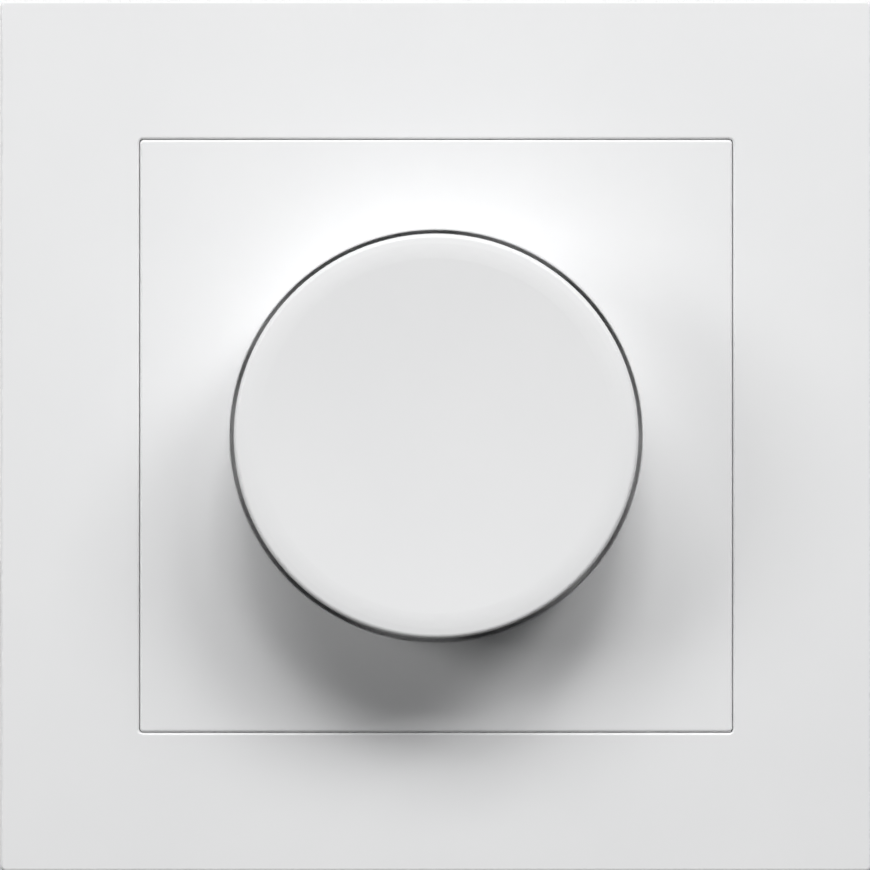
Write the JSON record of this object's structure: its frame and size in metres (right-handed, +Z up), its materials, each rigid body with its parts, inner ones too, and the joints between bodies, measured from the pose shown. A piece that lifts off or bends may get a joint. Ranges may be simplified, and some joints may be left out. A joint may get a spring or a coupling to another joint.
{
  "type": "rotary dimmer switch",
  "caption": "Flush-mounted rotary dimmer for a round wall box: square frame and centre plate, a large push-and-turn knob, support ring, wall claws and screw terminals.",
  "frame": {"origin": "on the knob's axis, in the plane of the wall that the cover frame and the support ring lie on", "axes": "+Z up, +X to the right as seen from the room, +Y into the wall, so the front faces -Y"},
  "size_m": [0.081, 0.047, 0.081],
  "materials": {
    "white_plastic": "glossy, smooth moulded thermoplastic",
    "dark_thermoset": "matt moulded thermoset",
    "zinc_steel": "bright zinc plating",
    "spring_steel": "hardened spring steel",
    "plate_aluminium": "rolled sheet, satin",
    "brass": "turned or stamped brass",
    "nickel_plate": "nickel-plated brass",
    "tinned_lead": "tinned copper alloy",
    "track_laminate": "carbon track on paper laminate",
    "natural_plastic": "undyed moulded plastic",
    "blue_plastic": "dyed moulded plastic",
    "board_laminate": "green solder mask on glass-fibre laminate",
    "ferrite": "sintered ferrite",
    "copper_wire": "enamelled copper wire",
    "capacitor_box": "moulded plastic box",
    "capacitor_sleeve": "shrunk plastic sleeve over an aluminium can",
    "black_epoxy": "moulded epoxy",
    "fuse_glass": "clear tube"
  },
  "bodies": {
    "insert": {"bush": "brass", "bush_nut": "zinc_steel", "centre_plate": "white_plastic", "chassis_screws": "zinc_steel", "chip_legs": "tinned_lead", "choke_core": "ferrite", "choke_winding": "copper_wire", "circuit_board": "board_laminate", "control_chip": "black_epoxy", "cover_frame": "white_plastic", "film_capacitor": "capacitor_box", "fuse_caps": "nickel_plate", "fuse_clips": "brass", "fuse_tube": "fuse_glass", "heat_plate": "plate_aluminium", "plate_nut": "zinc_steel", "potentiometer_case": "dark_thermoset", "potentiometer_leads": "tinned_lead", "power_transistors": "black_epoxy", "rear_cup": "dark_thermoset", "resistor_track": "track_laminate", "return_spring": "spring_steel", "smoothing_capacitor": "capacitor_sleeve", "support_ring": "zinc_steel", "switch_case": "dark_thermoset", "switch_contacts": "brass", "terminal_strips": "brass", "transistor_leads": "tinned_lead", "trimmer_body": "blue_plastic"},
    "rotor": {"wiper_rotor": "natural_plastic"},
    "knob_shaft": {"knob": "white_plastic", "hub_clip": "spring_steel", "shaft": "nickel_plate", "shaft_clip": "spring_steel"},
    "plunger": {"switch_plunger": "natural_plastic"},
    "trimmer": {"trimmer_dial": "natural_plastic"},
    "screw_left": {"claw_screw_left": "zinc_steel"},
    "nut_left": {"claw_nut_left": "zinc_steel"},
    "claw_left": {"claw_left": "zinc_steel"},
    "screw_right": {"claw_screw_right": "zinc_steel"},
    "nut_right": {"claw_nut_right": "zinc_steel"},
    "claw_right": {"claw_right": "zinc_steel"},
    "cage_1": {"terminal_cage_1": "zinc_steel"},
    "cage_screw_1": {"terminal_screw_1": "zinc_steel"},
    "cage_2": {"terminal_cage_2": "zinc_steel"},
    "cage_screw_2": {"terminal_screw_2": "zinc_steel"},
    "cage_3": {"terminal_cage_3": "zinc_steel"},
    "cage_screw_3": {"terminal_screw_3": "zinc_steel"}
  },
  "joints": [
    {"name": "knob_turn", "type": "hinge", "parent": "insert", "child": "rotor", "pos_m": [0, 0, 0], "axis": [0, 1, 0], "range_deg": [-135, 135]},
    {"name": "knob_push", "type": "slide", "parent": "rotor", "child": "knob_shaft", "axis": [0, 1, 0], "range_m": [0, 0.0012], "stiffness_N_per_m": 2000, "springref_m": -0.0015},
    {"name": "plunger_slide", "type": "slide", "parent": "insert", "child": "plunger", "axis": [0, 1, 0], "range_m": [0, 0.0012], "deforming": ["return_spring"]},
    {"name": "trimmer_turn", "type": "hinge", "parent": "insert", "child": "trimmer", "pos_m": [-0.0112, 0, -0.0058], "axis": [0, 1, 0], "range_deg": [-120, 120]},
    {"name": "claw_screw_left_turn", "type": "hinge", "parent": "insert", "child": "screw_left", "pos_m": [-0.0235, 0, 0], "axis": [0, 1, 0], "range_deg": [0, 3800]},
    {"name": "claw_nut_left_slide", "type": "slide", "parent": "insert", "child": "nut_left", "axis": [0, -1, 0], "range_m": [0, 0.00525]},
    {"name": "claw_left_slide", "type": "slide", "parent": "insert", "child": "claw_left", "axis": [-0.5547, -0.8321, 0], "range_m": [0, 0.00632]},
    {"name": "claw_screw_right_turn", "type": "hinge", "parent": "insert", "child": "screw_right", "pos_m": [0.0235, 0, 0], "axis": [0, 1, 0], "range_deg": [0, 3800]},
    {"name": "claw_nut_right_slide", "type": "slide", "parent": "insert", "child": "nut_right", "axis": [0, -1, 0], "range_m": [0, 0.00525]},
    {"name": "claw_right_slide", "type": "slide", "parent": "insert", "child": "claw_right", "axis": [0.5547, -0.8321, 0], "range_m": [0, 0.00632]},
    {"name": "terminal_screw_1_turn", "type": "hinge", "parent": "insert", "child": "cage_screw_1", "pos_m": [-0.011, 0.0197, 0], "axis": [0, 0, 1], "range_deg": [0, 1450]},
    {"name": "terminal_cage_1_slide", "type": "slide", "parent": "insert", "child": "cage_1", "axis": [0, 0, -1], "range_m": [0, 0.002]},
    {"name": "terminal_screw_2_turn", "type": "hinge", "parent": "insert", "child": "cage_screw_2", "pos_m": [0, 0.0197, 0], "axis": [0, 0, 1], "range_deg": [0, 1450]},
    {"name": "terminal_cage_2_slide", "type": "slide", "parent": "insert", "child": "cage_2", "axis": [0, 0, -1], "range_m": [0, 0.002]},
    {"name": "terminal_screw_3_turn", "type": "hinge", "parent": "insert", "child": "cage_screw_3", "pos_m": [0.011, 0.0197, 0], "axis": [0, 0, 1], "range_deg": [0, 1450]},
    {"name": "terminal_cage_3_slide", "type": "slide", "parent": "insert", "child": "cage_3", "axis": [0, 0, -1], "range_m": [0, 0.002]}
  ],
  "couplings": [
    {"joint": "plunger_slide", "follows": "knob_push", "ratio": 1},
    {"joint": "claw_screw_left_turn", "follows": "claw_nut_left_slide", "rad_per_m": 12566},
    {"joint": "claw_left_slide", "follows": "claw_nut_left_slide", "ratio": 1.2019},
    {"joint": "claw_screw_right_turn", "follows": "claw_nut_right_slide", "rad_per_m": 12566},
    {"joint": "claw_right_slide", "follows": "claw_nut_right_slide", "ratio": 1.2019},
    {"joint": "terminal_screw_1_turn", "follows": "terminal_cage_1_slide", "rad_per_m": 12566},
    {"joint": "terminal_screw_2_turn", "follows": "terminal_cage_2_slide", "rad_per_m": 12566},
    {"joint": "terminal_screw_3_turn", "follows": "terminal_cage_3_slide", "rad_per_m": 12566}
  ]
}
